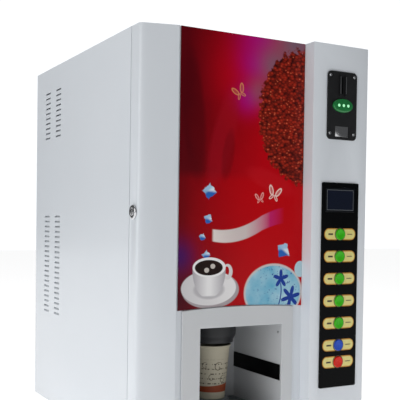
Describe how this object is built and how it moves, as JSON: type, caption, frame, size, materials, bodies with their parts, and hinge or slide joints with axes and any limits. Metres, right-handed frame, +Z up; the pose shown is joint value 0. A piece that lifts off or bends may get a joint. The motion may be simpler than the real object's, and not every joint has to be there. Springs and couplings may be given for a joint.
{
  "type": "hot drinks vending machine",
  "caption": "Table-top hot coffee vending machine with a hinged door, poster panel, control column, cup bay, canisters and boiler inside.",
  "frame": {"origin": "centre of the bounding box in X and Y, at the underside of the feet", "axes": "+Z up, the front with the poster and the cup bay faces -Y, +X is the control column's side"},
  "size_m": [0.4646, 0.6114, 0.74],
  "materials": {
    "white_paint": "gloss",
    "zinc_steel": "satin",
    "stainless": "satin",
    "rubber_black": "matte",
    "black_plastic": "matte",
    "black_gloss": "gloss",
    "clear_plastic": "translucent",
    "white_plastic": "satin",
    "grey_plastic": "matte",
    "poster_print": "gloss",
    "display_glass": "gloss",
    "paper": "matte",
    "chrome": "polished",
    "button_green": "gloss",
    "button_blue": "gloss",
    "button_red": "gloss",
    "coin_green": "gloss"
  },
  "bodies": {
    "cabinet": {"left_side_panel": "white_paint", "right_side_panel": "white_paint", "top_panel": "white_paint", "base_pan": "white_paint", "front_frame": "white_paint", "back_panel": "zinc_steel", "power_supply": "zinc_steel", "hinge_cabinet_leaf": "zinc_steel", "machine_wall": "stainless", "middle_shelf": "stainless", "canister_shelf": "stainless", "boiler_tank": "stainless", "foot_front_left": "rubber_black", "foot_front_right": "rubber_black", "foot_back_left": "rubber_black", "foot_back_right": "rubber_black", "cup_drop_housing": "black_plastic", "coin_box": "black_plastic", "water_pump": "black_plastic", "fan_housing": "black_plastic", "power_inlet": "black_plastic", "canister_1": "clear_plastic", "canister_2": "clear_plastic", "canister_3": "clear_plastic", "mixing_bowl_1": "clear_plastic", "mixing_bowl_2": "clear_plastic", "mixing_bowl_3": "clear_plastic", "cup_tube": "clear_plastic"},
    "door": {"door_shell": "white_paint", "poster_panel": "poster_print", "cup_bay": "white_plastic", "cup_sensor_strip": "black_gloss", "drink_shroud": "black_plastic", "coin_plate": "black_plastic", "coin_mechanism": "black_plastic", "keypad_plate": "black_gloss", "display_module": "display_glass", "lock_barrel": "chrome", "hinge_door_leaf": "zinc_steel"},
    "lock_plug": {"lock_plug": "chrome"},
    "drip_tray": {"drip_tray": "grey_plastic", "drip_grille": "grey_plastic"},
    "paper_cup": {"paper_cup": "paper"},
    "return_flap": {"return_flap": "chrome"},
    "reject_button": {"reject_button": "coin_green"},
    "button_1": {"button_1": "button_green"},
    "button_2": {"button_2": "button_green"},
    "button_3": {"button_3": "button_green"},
    "button_4": {"button_4": "button_green"},
    "button_5": {"button_5": "button_green"},
    "button_6": {"button_6": "button_blue"},
    "button_7": {"button_7": "button_red"},
    "auger_1": {"auger_1": "stainless"},
    "auger_2": {"auger_2": "stainless"},
    "auger_3": {"auger_3": "stainless"},
    "whipper_1": {"whipper_1": "black_plastic"},
    "whipper_2": {"whipper_2": "black_plastic"},
    "whipper_3": {"whipper_3": "black_plastic"},
    "cup_drop_ring": {"cup_drop_ring": "grey_plastic"},
    "fan_rotor": {"fan_rotor": "black_plastic"}
  },
  "joints": [
    {"name": "door_hinge", "type": "hinge", "parent": "cabinet", "child": "door", "pos_m": [0.22775, -0.2223, 0.02], "axis": [0, 0, 1], "range_deg": [0, 110]},
    {"name": "lock_turn", "type": "hinge", "parent": "door", "child": "lock_plug", "pos_m": [-0.21175, -0.2413, 0.428], "axis": [-1, 0, 0], "range_deg": [0, 90]},
    {"name": "drip_tray_slide", "type": "slide", "parent": "door", "child": "drip_tray", "axis": [0, -1, 0], "range_m": [0, 0.14]},
    {"name": "paper_cup_slide", "type": "slide", "parent": "door", "child": "paper_cup", "axis": [0, -1, 0], "range_m": [0, 0.16]},
    {"name": "return_flap_hinge", "type": "hinge", "parent": "door", "child": "return_flap", "pos_m": [0.15875, -0.3, 0.5909], "axis": [1, 0, 0], "range_deg": [0, 60]},
    {"name": "reject_button_press", "type": "slide", "parent": "door", "child": "reject_button", "axis": [0, 1, 0], "range_m": [0, 0.003], "stiffness_N_per_m": 400},
    {"name": "button_1_press", "type": "slide", "parent": "door", "child": "button_1", "axis": [0, 1, 0], "range_m": [0, 0.002], "stiffness_N_per_m": 400},
    {"name": "button_2_press", "type": "slide", "parent": "door", "child": "button_2", "axis": [0, 1, 0], "range_m": [0, 0.002], "stiffness_N_per_m": 400},
    {"name": "button_3_press", "type": "slide", "parent": "door", "child": "button_3", "axis": [0, 1, 0], "range_m": [0, 0.002], "stiffness_N_per_m": 400},
    {"name": "button_4_press", "type": "slide", "parent": "door", "child": "button_4", "axis": [0, 1, 0], "range_m": [0, 0.002], "stiffness_N_per_m": 400},
    {"name": "button_5_press", "type": "slide", "parent": "door", "child": "button_5", "axis": [0, 1, 0], "range_m": [0, 0.002], "stiffness_N_per_m": 400},
    {"name": "button_6_press", "type": "slide", "parent": "door", "child": "button_6", "axis": [0, 1, 0], "range_m": [0, 0.002], "stiffness_N_per_m": 400},
    {"name": "button_7_press", "type": "slide", "parent": "door", "child": "button_7", "axis": [0, 1, 0], "range_m": [0, 0.002], "stiffness_N_per_m": 400},
    {"name": "auger_1_spin", "type": "hinge", "parent": "cabinet", "child": "auger_1", "pos_m": [0.05425, 0.0387, 0.4779], "axis": [0, 1, 0], "continuous": true},
    {"name": "auger_2_spin", "type": "hinge", "parent": "cabinet", "child": "auger_2", "pos_m": [0.11825, 0.0387, 0.4779], "axis": [0, 1, 0], "continuous": true},
    {"name": "auger_3_spin", "type": "hinge", "parent": "cabinet", "child": "auger_3", "pos_m": [0.18225, 0.0387, 0.4779], "axis": [0, 1, 0], "continuous": true},
    {"name": "whipper_1_spin", "type": "hinge", "parent": "cabinet", "child": "whipper_1", "pos_m": [0.05425, -0.0913, 0.359], "axis": [0, 1, 0], "continuous": true},
    {"name": "whipper_2_spin", "type": "hinge", "parent": "cabinet", "child": "whipper_2", "pos_m": [0.11825, -0.0913, 0.359], "axis": [0, 1, 0], "continuous": true},
    {"name": "whipper_3_spin", "type": "hinge", "parent": "cabinet", "child": "whipper_3", "pos_m": [0.18225, -0.0913, 0.359], "axis": [0, 1, 0], "continuous": true},
    {"name": "cup_drop_turn", "type": "hinge", "parent": "cabinet", "child": "cup_drop_ring", "pos_m": [-0.032, -0.1653, 0.32], "axis": [0, 0, 1], "range_deg": [0, 60]},
    {"name": "fan_spin", "type": "hinge", "parent": "cabinet", "child": "fan_rotor", "pos_m": [0.10225, 0.2887, 0.61], "axis": [0, 1, 0], "continuous": true}
  ]
}
